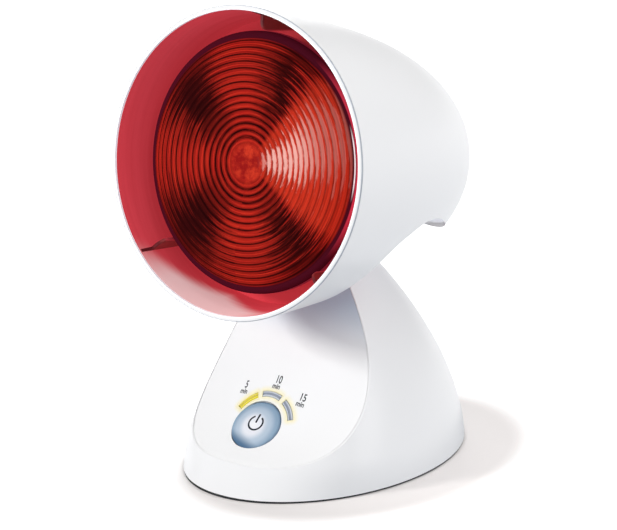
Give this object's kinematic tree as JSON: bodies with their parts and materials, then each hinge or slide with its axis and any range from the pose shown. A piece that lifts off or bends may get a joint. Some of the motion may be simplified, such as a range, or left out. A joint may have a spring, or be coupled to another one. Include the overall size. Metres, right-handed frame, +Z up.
{
  "type": "infrared heat therapy lamp",
  "caption": "Table lamp with a red reflector bulb in a tilting, open-fronted hood on a scooped, bell-shaped base with a push button and timer light bars.",
  "frame": {"origin": "on the floor, under the middle of the lamp's box", "axes": "+Z up, the lamp faces -Y, +X to the right as seen from the front"},
  "size_m": [0.1448, 0.1684, 0.2297],
  "materials": {
    "shell_white": "glossy white housing plastic",
    "panel_white": "glossy white panel",
    "grey_plastic": "matt grey plastic",
    "black_plastic": "matt black plastic",
    "rubber": "soft black rubber",
    "button_blue": "pale blue, brighter in the middle",
    "window_lit": "yellow light bar, lit",
    "window_unlit": "clear grey light bar",
    "circuit_board": "green board",
    "liner_red": "glossy red hood lining",
    "lens_red": "ringed red glass front",
    "bulb_red": "dark red glass body",
    "ceramic": "off-white ceramic",
    "steel": "bright steel",
    "brass": "brass"
  },
  "bodies": {
    "base": {"base_shell": "shell_white", "front_panel": "panel_white", "base_plate": "grey_plastic", "cord_inlet_ring": "grey_plastic", "terminal_block": "grey_plastic", "light_window_5_min": "window_lit", "light_window_10_min": "window_unlit", "light_window_15_min": "window_unlit", "led_5_min": "window_lit", "led_10_min": "window_unlit", "led_15_min": "window_unlit", "tact_switch": "black_plastic", "timer_board": "circuit_board", "relay": "black_plastic", "supply_capacitor": "grey_plastic", "pivot_bolt": "steel", "pivot_insert": "brass", "friction_washer_1": "grey_plastic", "friction_washer_2": "grey_plastic", "detent_spring": "steel", "rubber_foot_1": "rubber", "base_screw_1": "steel", "rubber_foot_2": "rubber", "base_screw_2": "steel", "rubber_foot_3": "rubber", "base_screw_3": "steel", "rubber_foot_4": "rubber", "base_screw_4": "steel", "board_screw_1": "steel", "board_screw_2": "steel"},
    "button": {"power_button": "button_blue"},
    "head": {"tilt_arm": "black_plastic", "hood_shell": "shell_white", "hood_liner": "liner_red", "bulb_fin_1": "liner_red", "bulb_fin_2": "liner_red", "bulb_fin_3": "liner_red", "holder_bracket": "steel", "bracket_screw_1": "steel", "bracket_screw_2": "steel", "bracket_screw_3": "steel", "holder_screw_1": "steel", "holder_screw_2": "steel", "arm_screw_1": "steel", "arm_screw_2": "steel", "lamp_holder": "ceramic", "holder_sleeve": "brass", "holder_contact": "brass"},
    "bulb": {"bulb_lens": "lens_red", "bulb_reflector": "bulb_red", "bulb_stem": "bulb_red", "bulb_cap": "brass", "cap_insulator": "black_plastic", "cap_tip": "brass", "filament": "steel", "filament_lead_1": "steel", "filament_lead_2": "steel"}
  },
  "joints": [
    {"name": "head_tilt", "type": "hinge", "parent": "base", "child": "head", "pos_m": [0, 0.0043, 0.096], "axis": [-1, 0, 0], "range_deg": [-9, 27], "deforming": ["detent_spring"]},
    {"name": "button_press", "type": "slide", "parent": "base", "child": "button", "axis": [0, 0.6801, -0.7332], "range_m": [0, 0.0008], "stiffness_N_per_m": 400, "springref_m": -0.002},
    {"name": "bulb_turn", "type": "hinge", "parent": "head", "child": "bulb", "pos_m": [0, -0.0708, 0.1587], "axis": [0, -0.9823, 0.1874], "continuous": true}
  ]
}
